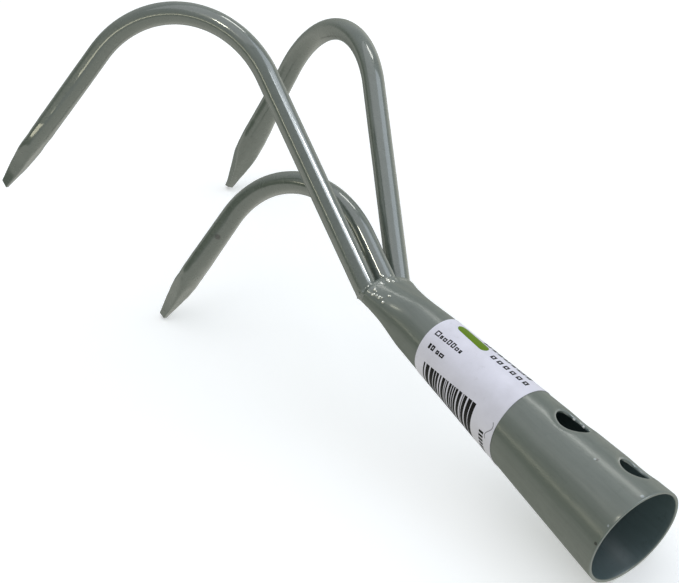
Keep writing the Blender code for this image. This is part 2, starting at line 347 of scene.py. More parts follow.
class Shader:
    """A material's node tree, with short ways to add and join nodes."""

    def __init__(self, name):
        self.material = bpy.data.materials.new(name)
        self.material.use_nodes = True
        self.tree = self.material.node_tree
        self.surface = self.tree.nodes["Principled BSDF"]
        tool_frame = self.node("ShaderNodeMapping", vector_type="TEXTURE")
        tool_frame.inputs["Location"].default_value = PLACE.to_translation()
        tool_frame.inputs["Rotation"].default_value = PLACE.to_euler()
        self.join(self.node("ShaderNodeTexCoord").outputs["Object"], tool_frame.inputs["Vector"])
        self.place = tool_frame.outputs["Vector"]

    def node(self, kind, **settings):
        """A new node with its properties set."""
        made = self.tree.nodes.new(kind)
        for key, value in settings.items():
            setattr(made, key, value)
        return made

    def join(self, source, target):
        """Link one socket to another."""
        self.tree.links.new(source, target)

    def stretched(self, scale):
        """Object coordinates scaled by a different amount along each axis."""
        mapping = self.node("ShaderNodeMapping")
        mapping.inputs["Scale"].default_value = scale
        self.join(self.place, mapping.inputs["Vector"])
        return mapping.outputs["Vector"]

    def noise(self, scale, detail, vector=None, roughness=0.55):
        """Noise from 0 to 1."""
        made = self.node("ShaderNodeTexNoise")
        made.inputs["Scale"].default_value = scale
        made.inputs["Detail"].default_value = detail
        made.inputs["Roughness"].default_value = roughness
        self.join(vector or self.place, made.inputs["Vector"])
        return made.outputs["Fac"]

    def fit(self, value, low, high, to_low, to_high):
        """Move a range of values onto another, clamped."""
        made = self.node("ShaderNodeMapRange")
        for name, number in (("From Min", low), ("From Max", high),
                             ("To Min", to_low), ("To Max", to_high)):
            made.inputs[name].default_value = number
        self.join(value, made.inputs["Value"])
        return made.outputs["Result"]

    def blend(self, amount, first, second):
        """Mix two colours, each a colour or another node's output."""
        made = self.node("ShaderNodeMix", data_type="RGBA")
        self.join(amount, made.inputs["Factor"])
        for name, value in (("A", first), ("B", second)):
            socket = [i for i in made.inputs if i.name == name and i.type == "RGBA"][0]
            if isinstance(value, tuple):
                socket.default_value = (*value, 1.0)
            else:
                self.join(value, socket)
        return [o for o in made.outputs if o.type == "RGBA"][0]

    def near(self, point, reach):
        """1 at a point, given in millimetres, falling to 0 at a ragged edge.

        The noise that makes the edge ragged moves points by half a millimetre
        on average, so the centre moves with them.
        """
        ragged = self.node("ShaderNodeVectorMath", operation="MULTIPLY_ADD")
        grain = self.node("ShaderNodeTexNoise")
        grain.inputs["Scale"].default_value = 900.0
        self.join(self.place, grain.inputs["Vector"])
        self.join(grain.outputs["Color"], ragged.inputs[0])
        ragged.inputs[1].default_value = (2.0 * RAGGED, 2.0 * RAGGED, 2.0 * RAGGED)
        self.join(self.place, ragged.inputs[2])
        gap = self.node("ShaderNodeVectorMath", operation="DISTANCE")
        self.join(ragged.outputs["Vector"], gap.inputs[0])
        gap.inputs[1].default_value = to_metres(point) + Vector((RAGGED, RAGGED, RAGGED))
        return self.fit(gap.outputs["Value"], 0.0006 * reach, 0.001 * reach, 1.0, 0.0)

    def bump(self, height, strength, distance, after=None):
        """Bend the surface normal by a height map."""
        made = self.node("ShaderNodeBump")
        made.inputs["Strength"].default_value = strength
        made.inputs["Distance"].default_value = distance
        self.join(height, made.inputs["Height"])
        if after is not None:
            self.join(after, made.inputs["Normal"])
        return made.outputs["Normal"]

    def set(self, **values):
        """Set shader sockets that are the same all over."""
        for name, value in values.items():
            self.surface.inputs[name.replace("_", " ")].default_value = value


def enamel(name, tint, grime, streaks, dullness, coat, nicks_and_glints=()):
    """Sprayed enamel over rolled steel.

    tint scales the colour, grime is the share of dark handling marks, streaks
    the strength of the faint lines left along the rolled sheet, dullness the
    lowest and highest roughness, and coat the weight and roughness of the gloss.
    The last argument lists single spots, each a point, a size and a colour: nicks in the paint,
    and on the punched edges painted glints.
    """
    look = Shader(name)

    def tinted(red, green, blue):
        return (tint[0] * red, tint[1] * green, tint[2] * blue)

    base = tinted(0.103, 0.124, 0.104)
    deep = tinted(0.070, 0.088, 0.070)
    pale = tinted(0.134, 0.152, 0.136)
    clouds = look.noise(38.0, 3.0)
    colour = look.blend(look.fit(clouds, 0.35, 0.75, 0.0, 0.55), base, pale)
    lengthwise = look.noise(1.0, 3.0, look.stretched((520.0, 9.0, 520.0)))
    colour = look.blend(look.fit(lengthwise, 0.40, 0.75, 0.0, streaks), colour, deep)
    marks = look.noise(150.0, 5.0, roughness=0.7)
    colour = look.blend(look.fit(marks, 0.56, 0.70, 0.0, grime), colour, deep)
    specks = look.noise(1500.0, 2.0)
    colour = look.blend(look.fit(specks, 0.68, 0.76, 0.0, 0.45), colour, pale)
    for point, reach, spot_colour in nicks_and_glints:
        colour = look.blend(look.near(point, reach), colour, spot_colour)
    look.join(colour, look.surface.inputs["Base Color"])

    dull = look.noise(210.0, 4.0)
    look.join(look.fit(dull, 0.30, 0.75, dullness[0], dullness[1]),
              look.surface.inputs["Roughness"])
    orange_peel = look.noise(620.0, 2.0)
    normal = look.bump(orange_peel, 0.07, 0.0004)
    sags = look.noise(90.0, 2.0)
    normal = look.bump(sags, 0.10, 0.0012, normal)
    look.join(normal, look.surface.inputs["Normal"])
    look.set(Coat_Weight=coat[0], Coat_Roughness=coat[1], Coat_IOR=1.7, IOR=1.5)
    return look.material


def bare_steel():
    """Spatter whose paint did not take: dull bright steel."""
    look = Shader("bare_steel_beads")
    film = look.noise(900.0, 3.0)
    look.join(look.blend(look.fit(film, 0.45, 0.65, 0.0, 1.0), (0.78, 0.77, 0.70),
                         (0.30, 0.32, 0.29)), look.surface.inputs["Base Color"])
    look.join(look.fit(film, 0.40, 0.65, 0.9, 0.2), look.surface.inputs["Metallic"])
    look.join(look.fit(film, 0.3, 0.8, 0.16, 0.34), look.surface.inputs["Roughness"])
    look.join(look.bump(film, 0.2, 0.0001), look.surface.inputs["Normal"])
    return look.material


def paper_look():
    """Coated white label paper, faintly violet and a little smudged."""
    look = Shader("paper_satin_white")
    clouds = look.noise(85.0, 4.0)
    colour = look.blend(look.fit(clouds, 0.35, 0.75, 0.0, 1.0),
                        (0.77, 0.75, 0.84), (0.68, 0.66, 0.73))
    smudges = look.noise(260.0, 5.0, roughness=0.7)
    colour = look.blend(look.fit(smudges, 0.60, 0.75, 0.0, 0.35), colour,
                        (0.52, 0.50, 0.54))
    look.join(colour, look.surface.inputs["Base Color"])
    fibres = look.noise(2600.0, 3.0)
    cockle = look.noise(120.0, 2.0)
    normal = look.bump(fibres, 0.10, 0.0001)
    normal = look.bump(cockle, 0.12, 0.0010, normal)
    look.join(normal, look.surface.inputs["Normal"])
    look.join(look.fit(clouds, 0.3, 0.8, 0.42, 0.58), look.surface.inputs["Roughness"])
    look.set(IOR=1.45)
    return look.material


def ink_look(name, colour, worn):
    """Printing ink with a slightly broken coverage."""
    look = Shader(name)
    grain = look.noise(1900.0, 4.0)
    look.join(look.blend(look.fit(grain, 0.52, 0.80, 0.0, 0.6), colour, worn),
              look.surface.inputs["Base Color"])
    look.join(look.fit(grain, 0.3, 0.8, 0.38, 0.60), look.surface.inputs["Roughness"])
    look.join(look.bump(grain, 0.06, 0.0001), look.surface.inputs["Normal"])
    look.surface.inputs["Specular IOR Level"].default_value = 0.15
    return look.material


def floor_look():
    """Plain pale floor."""
    look = Shader("floor_pale")
    clouds = look.noise(6.0, 3.0)
    look.join(look.blend(clouds, (0.90, 0.90, 0.90), (0.92, 0.92, 0.92)),
              look.surface.inputs["Base Color"])
    look.set(Roughness=0.9, Emission_Color=(1.0, 1.0, 1.0, 1.0), Emission_Strength=0.30)
    return look.material


# ------------------------------------------------------------------- socket

def cone_radius(along):
    """Outside radius of the plain cone at a distance from the mouth."""
    return MOUTH_RADIUS - TAPER * along


def drawn_in(along, angle):
    """How far punching the screw holes drew the wall inwards here."""
    total = 0.0
    for centre, radius, turn in SCREW_HOLES:
        offset = math.remainder(angle - turn, 2.0 * math.pi)
        if abs(offset) <= 0.5 * math.pi:
            around = cone_radius(centre) * math.sin(offset)
            beyond = max(math.hypot(around, along - centre) - radius, 0.0)
            total += HOLE_DRAW * math.exp(-(beyond / HOLE_DRAW_REACH) ** 2)
    return total


def dented(along, x):
    """How far the wall to the right of the creases sinks below the plain nose."""
    total = 0.0
    for near, far, width, depth in CREASES:
        t = (along - near[0]) / (far[0] - near[0])
        right = (x - mix(near[1], far[1], t)) / width
        if 0.0 < right < 1.0:
            total += depth * smoothstep(1.6 * t) * right * (1.0 - right) ** 2 / DENT_PEAK
    return total


def lip_recess(along, angle):
    """How far the nose stops short of its full length on this side."""
    most = LIP_RECESS[0] if math.sin(angle) < 0.0 else LIP_RECESS[1]
    share = smoothstep((along - LIP_RECESS_START) / (NOSE_END - LIP_RECESS_START))
    return most * share * math.sin(angle) ** 2


def wall_point(along, angle, depth):
    """A point in the socket's wall: depth 0 is outside, WALL is inside."""
    along -= lip_recess(along, angle)
    press = smoothstep((along - NOSE_START) / (NOSE_END - NOSE_START))
    radius = cone_radius(along)
    power = 2.0 / mix(2.0, NOSE_SQUARENESS, press)
    inset = depth + drawn_in(along, angle)
    half_width = mix(radius, NOSE_HALF_WIDTH, press) - inset
    pressed_height = NOSE_HALF_HEIGHT if math.cos(angle) > 0.0 else NOSE_HALF_HEIGHT_BELOW
    half_height = mix(radius, pressed_height, press) - inset
    point = Vector((half_width * signed_power(math.sin(angle), power), along,
                    half_height * signed_power(math.cos(angle), power)
                    + NOSE_RISE * press))
    outwards = Vector((math.sin(angle), 0.0, math.cos(angle)))
    if math.cos(angle) > 0.0:
        point.z -= dented(along, point.x)
    rolled = 0.05 * wobble(outwards * 9.0 + Vector((0.0, along * 0.15, 0.0)), 3.0, 2.0)
    pressed = 0.22 * press * wobble(point, 5.0, 5.0)
    return point + outwards * (rolled + pressed)


def hole_window(hole, stations):
    """Grid rows and columns of the rectangular patch around a hole."""
    centre, radius, turn = hole
    reach = radius + HOLE_MARGIN
    rows = [i for i, along in enumerate(stations) if abs(along - centre) <= reach + SOCKET_STEP]
    swing = math.asin(reach / cone_radius(centre))
    step = 2.0 * math.pi / SOCKET_SIDES
    first = math.floor((turn - swing) / step)
    last = math.ceil((turn + swing) / step)
    return rows[0], rows[-1], first, last


def window_edge(window):
    """Grid places around the border of a patch, in order."""
    low, high, first, last = window
    edge = [(low, j) for j in range(first, last)]
    edge += [(i, last) for i in range(low, high)]
    edge += [(high, j) for j in range(last, first, -1)]
    edge += [(i, first) for i in range(high, low, -1)]
    return edge


def hole_rings(build, hole, border, depth, radius):
    """Rings of vertices from a patch's border to the rounded edge of a hole."""
    centre, _, turn = hole
    scale = cone_radius(centre)
    rings = []
    for number in range(1, HOLE_RINGS + 1):
        t = 1.0 - (1.0 - number / HOLE_RINGS) ** 1.6
        ring = []
        for around, ahead in border:
            bearing = math.atan2(ahead, around)
            x = mix(around, radius * math.cos(bearing), t)
            y = mix(ahead, radius * math.sin(bearing), t)
            angle = turn + math.asin(x / scale)
            ring.append(build.verts.new(to_metres(wall_point(centre + y, angle, depth))))
        rings.append(ring)
    return rings


def make_hole(build, hole, window, stations, outer, inner):
    """Fill the patch around a hole on both sides and join them by its edge."""
    centre, radius, turn = hole
    scale = cone_radius(centre)
    edge = window_edge(window)
    border = []
    for i, j in edge:
        angle = 2.0 * math.pi * j / SOCKET_SIDES
        border.append((scale * math.sin(angle - turn), stations[i] - centre))
    outside = [[outer[i][j % SOCKET_SIDES] for i, j in edge]]
    outside += hole_rings(build, hole, border, 0.0, radius + HOLE_ROUND)
    inside = [[inner[i][j % SOCKET_SIDES] for i, j in edge]]
    inside += hole_rings(build, hole, border, WALL, radius + 0.5 * HOLE_ROUND)
    lip = []
    for turn_in, depth in HOLE_EDGE:
        ring = []
        for around, ahead in border:
            bearing = math.atan2(ahead, around)
            reach = radius + HOLE_ROUND * turn_in
            x = reach * math.cos(bearing)
            y = reach * math.sin(bearing)
            angle = turn + math.asin(x / scale)
            ring.append(build.verts.new(to_metres(wall_point(centre + y, angle, depth))))
        lip.append(ring)
    run = outside + lip + list(reversed(inside))
    first_of_lip = len(outside) - 2
    first_of_inside = len(outside) + len(lip)
    for index, (here, there) in enumerate(zip(run, run[1:])):
        slot = OUTSIDE if index < first_of_lip else PUNCHED if index < first_of_inside else BORE
        bridge(build, here, there, slot)


def make_socket(looks):
    """The tapered tube, with looks for its outside, inside, rim and punched edges."""
    count = round(NOSE_END / SOCKET_STEP)
    stations = [mix(RIM_ROUND, NOSE_END - 0.3, i / count) for i in range(count + 1)]
    build = bmesh.new()

    def ring(along, depth):
        return [build.verts.new(to_metres(wall_point(along, 2.0 * math.pi * j / SOCKET_SIDES,
                                                     depth)))
                for j in range(SOCKET_SIDES)]

    outer = [ring(along, 0.0) for along in stations]
    inner = [ring(along, WALL) for along in stations]
    windows = [hole_window(hole, stations) for hole in SCREW_HOLES]

    def in_window(i, j):
        for low, high, first, last in windows:
            if low <= i < high and (j - first) % SOCKET_SIDES < last - first:
                return True
        return False

    for grid, slot in ((outer, OUTSIDE), (inner, BORE)):
        for i in range(count):
            for j in range(SOCKET_SIDES):
                if in_window(i, j):
                    continue
                after = (j + 1) % SOCKET_SIDES
                face = build.faces.new((grid[i][j], grid[i][after],
                                        grid[i + 1][after], grid[i + 1][j]))
                face.material_index = slot
    for hole, window in zip(SCREW_HOLES, windows):
        make_hole(build, hole, window, stations, outer, inner)

    rim = [outer[0]]
    rim += [ring(along, depth) for along, depth in
            ((0.14, 0.05), (0.03, 0.17), (0.0, 0.34), (0.0, WALL - 0.34),
             (0.03, WALL - 0.17), (0.14, WALL - 0.05))]
    rim.append(inner[0])
    for here, there in zip(rim, rim[1:]):
        bridge(build, here, there, RIM)
    lip = [outer[-1], ring(NOSE_END, 0.3), ring(NOSE_END, WALL - 0.3), inner[-1]]
    for here, there in zip(lip, lip[1:]):
        bridge(build, here, there)
    return finish_mesh("socket_tube", build, looks, 40.0, ("socket",))


# -------------------------------------------------------------------- tines

def hook_path(root, fan, lift, splay, straight, bend_radius, bend, reach):
    """Centreline of a tine, as points with their direction, and its width axis."""
    ahead = Vector((-math.sin(fan) * math.cos(lift),
                    math.cos(fan) * math.cos(lift),
                    math.sin(lift)))
    turn = (ahead * UP.dot(ahead) - UP).normalized()
    side = ahead.cross(turn)
    turn = turn * math.cos(splay) + side * math.sin(splay)
    width_axis = ahead.cross(turn)

    steps = round(straight / 4.0)
    path = [(root + ahead * straight * i / steps, ahead) for i in range(steps)]
    start = root + ahead * straight
    centre = start + turn * bend_radius
    steps = round(bend / ARC_STEP)
    for index in range(steps + 1):
        angle = bend * index / steps
        point = centre + bend_radius * (ahead * math.sin(angle) - turn * math.cos(angle))
        path.append((point, ahead * math.cos(angle) + turn * math.sin(angle)))
    corner, heading = path[-1]
    steps = round(reach / POINT_STEP)
    path += [(corner + heading * reach * i / steps, heading) for i in range(1, steps + 1)]
    return path, width_axis


def point_section(left):
    """Half width, half thickness and squareness at a distance from the point."""
    rows = (POINT_PROFILE[0],) + POINT_PROFILE + (POINT_PROFILE[-1],)
    for before, near, far, after in zip(rows, rows[1:], rows[2:], rows[3:]):
        if near[0] <= left < far[0]:
            t = (left - near[0]) / (far[0] - near[0])
            return tuple(curve(*four, t) for four in zip(before[1:], near[1:], far[1:], after[1:]))
    return POINT_PROFILE[-1][1:]


def make_tine(name, path, width_axis, end_slant, looks, seed):
    """A round bar along its path, forged to a four-sided point."""
    left = [0.0]
    for (here, _), (there, _) in zip(reversed(path[:-1]), reversed(path[1:])):
        left.append(left[-1] + (there - here).length)
    left.reverse()
    build = bmesh.new()
    rings = []
    for (centre, heading), remaining in zip(path, left):
        depth_axis = heading.cross(width_axis)
        half_width, half_depth, squareness = point_section(remaining)
        power = 2.0 / squareness
        lean = heading * (-end_slant * smoothstep(1.0 - remaining / 3.0))
        hammered = HAMMER_MARKS * smoothstep((HAMMERED_LENGTH - remaining) / 16.0)
        bevel = 1.0 - ROOT_BEVEL * smoothstep(1.0 - (left[0] - remaining) / ROOT_BEVEL_LENGTH)
        ring = []
        for index in range(BAR_SIDES):
            angle = 2.0 * math.pi * index / BAR_SIDES
            x = half_width * bevel * signed_power(math.cos(angle), power)
            y = half_depth * bevel * signed_power(math.sin(angle), power)
            point = centre + width_axis * x + (depth_axis + lean) * y
            out = (width_axis * x + depth_axis * y).normalized()
            uneven = 0.035 * wobble(point, 9.0, seed) + hammered * wobble(point, 4.5, seed)
            ring.append(build.verts.new(to_metres(point + out * uneven)))
        rings.append(ring)
    for here, there in zip(rings, rings[1:]):
        bridge(build, here, there)
    build.faces.new(list(reversed(rings[0])))
    end = build.faces.new(rings[-1])
    end.material_index = 1
    return finish_mesh("bar_" + name, build, looks, 32.0, ("tine_" + name,))


def outer_path(reach):
    """The centreline and width axis of the left tine."""
    root = Vector((-OUTER_ROOT.x, OUTER_ROOT.y, OUTER_ROOT.z))
    return hook_path(root, OUTER_FAN, OUTER_LIFT, OUTER_SPLAY,
                     OUTER_STRAIGHT, OUTER_BEND_RADIUS, OUTER_BEND, reach)


def mirrored(path, width_axis):
    """The same path on the other side of the plane x = 0."""
    flip = Matrix.Diagonal((-1.0, 1.0, 1.0))
    return [(flip @ point, flip @ heading) for point, heading in path], flip @ width_axis


# -------------------------------------------------------------------- welds

def across(ahead):
    """Two directions square to a bar: level to its right, and up."""
    side = ahead.cross(UP).normalized()
    return side, side.cross(ahead)


def add_collar(build, at, ahead):
    """A short round body around a bar where it leaves the nose."""
    side, up = across(ahead)
    angles = [2.0 * math.pi * k / COLLAR_SIDES for k in range(COLLAR_SIDES)]
    rings = []
    for along, radius in COLLAR:
        centre = at + ahead * along
        rings.append([build.verts.new(to_metres(
            centre + side * radius * math.cos(angle) + up * radius * math.sin(angle)))
            for angle in angles])
    for here, there in zip(rings, rings[1:]):
        bridge(build, here, there)
    build.faces.new(list(reversed(rings[0])))
    build.faces.new(rings[-1])


def add_blob(build, centre, radius):
    """A small ball."""
    place = Matrix.Translation(to_metres(centre))
    bmesh.ops.create_icosphere(build, subdivisions=2, radius=radius * 0.001, matrix=place)


def at_lip(root, ahead):
    """Distance along a bar from its root to the plane of the socket's lip."""
    return (NOSE_END - root.y) / ahead.y


def make_weld(roots, look):
    """Weld metal that closes the nose and runs up onto the three bars.

    Simple bodies are fused by a fine remesh, roughened, and smoothed until the
    corners between them fill in like molten metal.
    """
    build = bmesh.new()
    rings = []
    for along, depth in PLUG:
        rings.append([build.verts.new(to_metres(
            wall_point(min(along, NOSE_END), 2.0 * math.pi * k / PLUG_SIDES, depth)
            + Vector((0.0, max(along - NOSE_END, 0.0), 0.0)))) for k in range(PLUG_SIDES)])
    for here, there in zip(rings, rings[1:]):
        bridge(build, here, there)
    build.faces.new(list(reversed(rings[0])))
    build.faces.new(rings[-1])
    chance = random.Random(4)
    for root, ahead in roots:
        start = at_lip(root, ahead)
        side, up = across(ahead)
        add_collar(build, root + ahead * start, ahead)
        for number in range(COLLAR_LUMPS):
            angle = 2.0 * math.pi * (number + chance.random()) / COLLAR_LUMPS
            out = side * math.cos(angle) + up * math.sin(angle)
            centre = root + ahead * (start + chance.uniform(-0.4, 1.2)) + out * BAR_RADIUS
            add_blob(build, centre, chance.uniform(0.5, 0.85))
    bmesh.ops.recalc_face_normals(build, faces=build.faces)
    mesh = bpy.data.meshes.new("weld_metal")
    build.to_mesh(mesh)
    build.free()
    piece = bpy.data.objects.new("weld_metal", mesh)
    bpy.context.scene.collection.objects.link(piece)
    fuse = piece.modifiers.new("fuse", "REMESH")
    fuse.mode = "VOXEL"
    fuse.voxel_size = WELD_VOXEL
    flow = piece.modifiers.new("flow", "SMOOTH")
    flow.factor = 0.5
    flow.iterations = WELD_SMOOTHING
    graph = bpy.context.evaluated_depsgraph_get()
    fused = bpy.data.meshes.new_from_object(piece.evaluated_get(graph))
    piece.modifiers.clear()
    piece.data = fused
    for vertex in fused.vertices:
        point = vertex.co * 1000.0
        lumps = 0.16 * wobble(point, 1.9, 3.0) + 0.07 * wobble(point, 0.8, 8.0)
        vertex.co += vertex.normal * 0.001 * lumps
    fused.shade_smooth()
    fused.materials.clear()
    fused.materials.append(look)
    nodes = [f"weld_{place}_{side}"
             for place in ("over", "under") for side in ("left", "middle", "right")]
    return adopt(piece, nodes)


def make_spatter(roots, look):
    """Beads of spatter frozen on the nose and on the feet of the bars."""
    chance = random.Random(11)
    build = bmesh.new()
    for (root, ahead), count in zip(roots, FOOT_BEADS):
        start = at_lip(root, ahead)
        side, up = across(ahead)
        for _ in range(count):
            angle = math.radians(chance.uniform(30.0, 100.0))
            out = side * -math.cos(angle) + up * math.sin(angle)
            along = start + chance.uniform(0.5, 4.0)
            add_blob(build, root + ahead * along + out * BAR_RADIUS, chance.uniform(0.35, 0.6))
    for turn, spread, along, depth, count in SPATTER:
        for _ in range(count):
            angle = math.radians(chance.uniform(turn - spread, turn + spread))
            place = chance.uniform(along - depth, along)
            add_blob(build, wall_point(place, angle, 0.0), chance.uniform(0.4, 0.75))
    return finish_mesh("weld_spatter", build, (look,), 60.0, ())


# -------------------------------------------------------------------- label

def wrap(x, y, lift):
    """Where a point of the flat paper comes to lie on the cone."""
    half_angle = math.atan(TAPER)
    slant = math.hypot(x, y)
    angle = math.atan2(x, y) / math.sin(half_angle)
    along = MOUTH_RADIUS / TAPER - slant * math.cos(half_angle)
    point = wall_point(along, angle, 0.0)
    outwards = Vector((math.sin(angle), TAPER, math.cos(angle))).normalized()
    return point + outwards * (lift + ripple(x, y))


def ripple(x, y):
    """Height of the paper's slight cockle off the metal."""
    near_edge = smoothstep(1.0 - min(y - PAPER_FAR, PAPER_NEAR - y) / 4.0)
    slow = 0.5 + 0.5 * math.sin(0.33 * x + 0.8 * math.sin(0.11 * y))
    return 0.03 * slow + 0.07 * near_edge * slow


def add_sheet(build, rows, low, high, slot):
    """A thin closed slab over a grid of paper points, between two heights."""
    bottom = [[build.verts.new(to_metres(wrap(x, y, low))) for x, y in row] for row in rows]
    top = [[build.verts.new(to_metres(wrap(x, y, high))) for x, y in row] for row in rows]
    deep = len(rows)
    wide = len(rows[0])
    for grid in (bottom, top):
        for i in range(deep - 1):
            for j in range(wide - 1):
                face = build.faces.new((grid[i][j], grid[i][j + 1],
                                        grid[i + 1][j + 1], grid[i + 1][j]))
                face.material_index = slot
    edge = [(0, j) for j in range(wide - 1)]
    edge += [(i, wide - 1) for i in range(deep - 1)]
    edge += [(deep - 1, j) for j in range(wide - 1, 0, -1)]
    edge += [(i, 0) for i in range(deep - 1, 0, -1)]
    for (i, j), (k, m) in zip(edge, edge[1:] + edge[:1]):
        face = build.faces.new((bottom[i][j], bottom[k][m], top[k][m], top[i][j]))
        face.material_index = slot


def make_label(look):
    """The paper band itself."""
    build = bmesh.new()
    rows = []
    for i in range(PAPER_ROWS + 1):
        y = mix(PAPER_FAR, PAPER_NEAR, i / PAPER_ROWS)
        rows.append([(mix(PAPER_LEFT, PAPER_RIGHT, j / PAPER_COLUMNS), y)
                     for j in range(PAPER_COLUMNS + 1)])
    add_sheet(build, rows, PAPER_LIFT, PAPER_LIFT + PAPER_THICKNESS, 0)
    return finish_mesh("label_band", build, (look,), 50.0, ("label",))


def add_ink(build, rows, slot):
    """A printed patch over a grid of paper points."""
    top = PAPER_LIFT + PAPER_THICKNESS
    add_sheet(build, rows, top - INK_SINK, top + INK_THICKNESS, slot)


def add_block(build, x0, x1, y0, y1, slot):
    """A printed rectangle, cut fine enough to follow the paper's curve."""
    wide = max(1, round(abs(x1 - x0) / 0.6))
    deep = max(1, round(abs(y1 - y0) / 1.5))
    rows = [[(mix(x0, x1, j / wide), mix(y0, y1, i / deep)) for j in range(wide + 1)]
            for i in range(deep + 1)]
    add_ink(build, rows, slot)


def add_stroke(build, points, width, slot):
    """A printed line of constant width through some points."""
    rows = []
    for index, (x, y) in enumerate(points):
        before = points[max(index - 1, 0)]
        after = points[min(index + 1, len(points) - 1)]
        run = Vector((after[0] - before[0], after[1] - before[1])).normalized()
        half = 0.5 * width
        rows.append([(x - run.y * half, y + run.x * half), (x + run.y * half, y - run.x * half)])
    add_ink(build, rows, slot)


def add_words(build, base, start, sizes, gap, stroke):
    """Filler text: empty boxes of (length, height) in place of letters."""
    y = start
    for length, height in sizes:
        if height > 0.0:
            top = base + height
            end = y + length
            add_block(build, base, base + stroke, y, end, BLACK)
            add_block(build, top - stroke, top, y, end, BLACK)
            add_block(build, base + stroke, top - stroke, y, y + stroke, BLACK)
            add_block(build, base + stroke, top - stroke, end - stroke, end, BLACK)
        y += length + gap


def add_capsule(build, centre, length, width, lean, slot):
    """A plain rounded bar of colour."""
    rows = []
    for index in range(CURVE_STEPS + 1):
        t = -math.cos(math.pi * index / CURVE_STEPS)
        run = 0.5 * length * t
        end = max(abs(run) - 0.5 * (length - width), 0.0)
        half = math.sqrt(max(0.25 * width * width - end * end, 0.0)) + 0.02
        middle = centre[0] + lean * run
        rows.append([(middle + half * (j / 4.0 - 1.0), centre[1] + run) for j in range(9)])
    add_ink(build, rows, slot)


def make_print(black, green, pencil):
    """Generic print: filler text, stripes, a green bar and a pencil squiggle."""
    build = bmesh.new()
    add_capsule(build, *GREEN_BAR, GREEN)
    for row in FILLER_TEXT:
        add_words(build, *row)
    chance = random.Random(21)
    y, end = STRIPES_ALONG
    while y < end - STRIPE_REST:
        width = STRIPE * chance.choice((1, 2, 2, 3, 4, 5))
        add_block(build, *STRIPES_ACROSS, y, min(y + width, end), BLACK)
        y += width + STRIPE * chance.choice((1, 1, 1, 2, 2))
    for number in range(BLOCKS):
        x = BLOCKS_START - BLOCKS_STEP * number
        add_block(build, x, x - BLOCK_WIDTH, *BLOCK_ALONG, BLACK)
    x, y = SQUIGGLE_START
    shares = [k / CURVE_STEPS for k in range(CURVE_STEPS + 1)]
    squiggle = [(x - SQUIGGLE_RUN * t, y + SQUIGGLE_WAVE * math.sin(5.2 * t + 0.4))
                for t in shares]
    add_stroke(build, squiggle, SQUIGGLE_WIDTH, PENCIL)
    return finish_mesh("label_print", build, (black, green, pencil), 50.0, ())


# ------------------------------------------------------------ light, camera

def direction(azimuth, elevation):
    """A unit vector; azimuth runs from +Y towards +X, in degrees."""
    a = math.radians(azimuth)
    e = math.radians(elevation)
    return Vector((math.sin(a) * math.cos(e), math.cos(a) * math.cos(e), math.sin(e)))


def add_light(name, azimuth, elevation, distance, size, power, colour, long_axis, mirrored_only):
    """An area light that looks at the tool."""
    back = direction(azimuth, elevation)
    long_axis = (long_axis - back * long_axis.dot(back)).normalized()
    wide = long_axis.cross(back)
    data = bpy.data.lights.new(name, "AREA")
    data.shape = "RECTANGLE"
    data.size, data.size_y = size
    data.energy = power
    data.color = colour
    light = bpy.data.objects.new(name, data)
    bpy.context.scene.collection.objects.link(light)
    turn = Matrix((wide, long_axis, back)).transposed().to_4x4()
    light.visible_camera = False
    light.visible_diffuse = not mirrored_only
    light.matrix_world = Matrix.Translation(LIGHTS_AIM + back * distance) @ turn


def height_ramp(tree, height, stops):
    """A colour that depends on height: stops are (position, colour)."""
    ramp = tree.nodes.new("ShaderNodeValToRGB")
    tree.links.new(height, ramp.inputs["Fac"])
    elements = ramp.color_ramp.elements
    for element, (position, colour) in zip((elements[0], elements[1]), (stops[0], stops[-1])):
        element.position = position
        element.color = (*colour, 1.0)
    for position, colour in stops[1:-1]:
        elements.new(position).color = (*colour, 1.0)
    return ramp.outputs["Color"]


